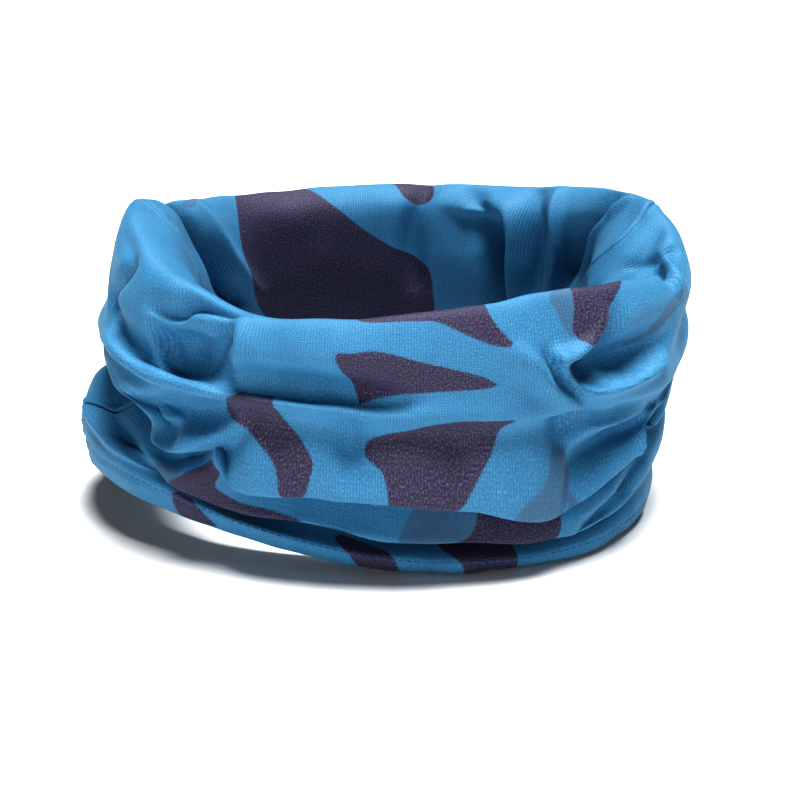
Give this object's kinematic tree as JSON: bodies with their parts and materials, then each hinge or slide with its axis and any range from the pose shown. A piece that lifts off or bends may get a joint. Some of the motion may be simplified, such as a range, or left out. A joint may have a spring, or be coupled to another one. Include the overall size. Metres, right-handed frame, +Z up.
{
  "type": "neck gaiter",
  "caption": "Stretch jersey neck gaiter, a seamed and hemmed tube turned down inside itself and scrunched into a ring that stands on its lower edges.",
  "frame": {"origin": "middle of the footprint, on the surface that the gaiter stands on", "axes": "+Z up along the neck passage, +X to the right of a view from the front, -Y towards the front"},
  "size_m": [0.1932, 0.149, 0.097],
  "materials": {
    "printed_jersey": "fine polyester jersey, sky blue with a printed pattern of plum and grey patches, soft sheen",
    "sewing_thread": "twisted polyester sewing thread, blue, slight sheen"
  },
  "bodies": {
    "root": {"front_panel": "printed_jersey", "back_panel": "printed_jersey", "left_seam_face_thread": "sewing_thread", "left_seam_back_thread": "sewing_thread", "right_seam_face_thread": "sewing_thread", "right_seam_back_thread": "sewing_thread", "outer_hem_thread": "sewing_thread", "inner_hem_thread": "sewing_thread"}
  },
  "joints": []
}
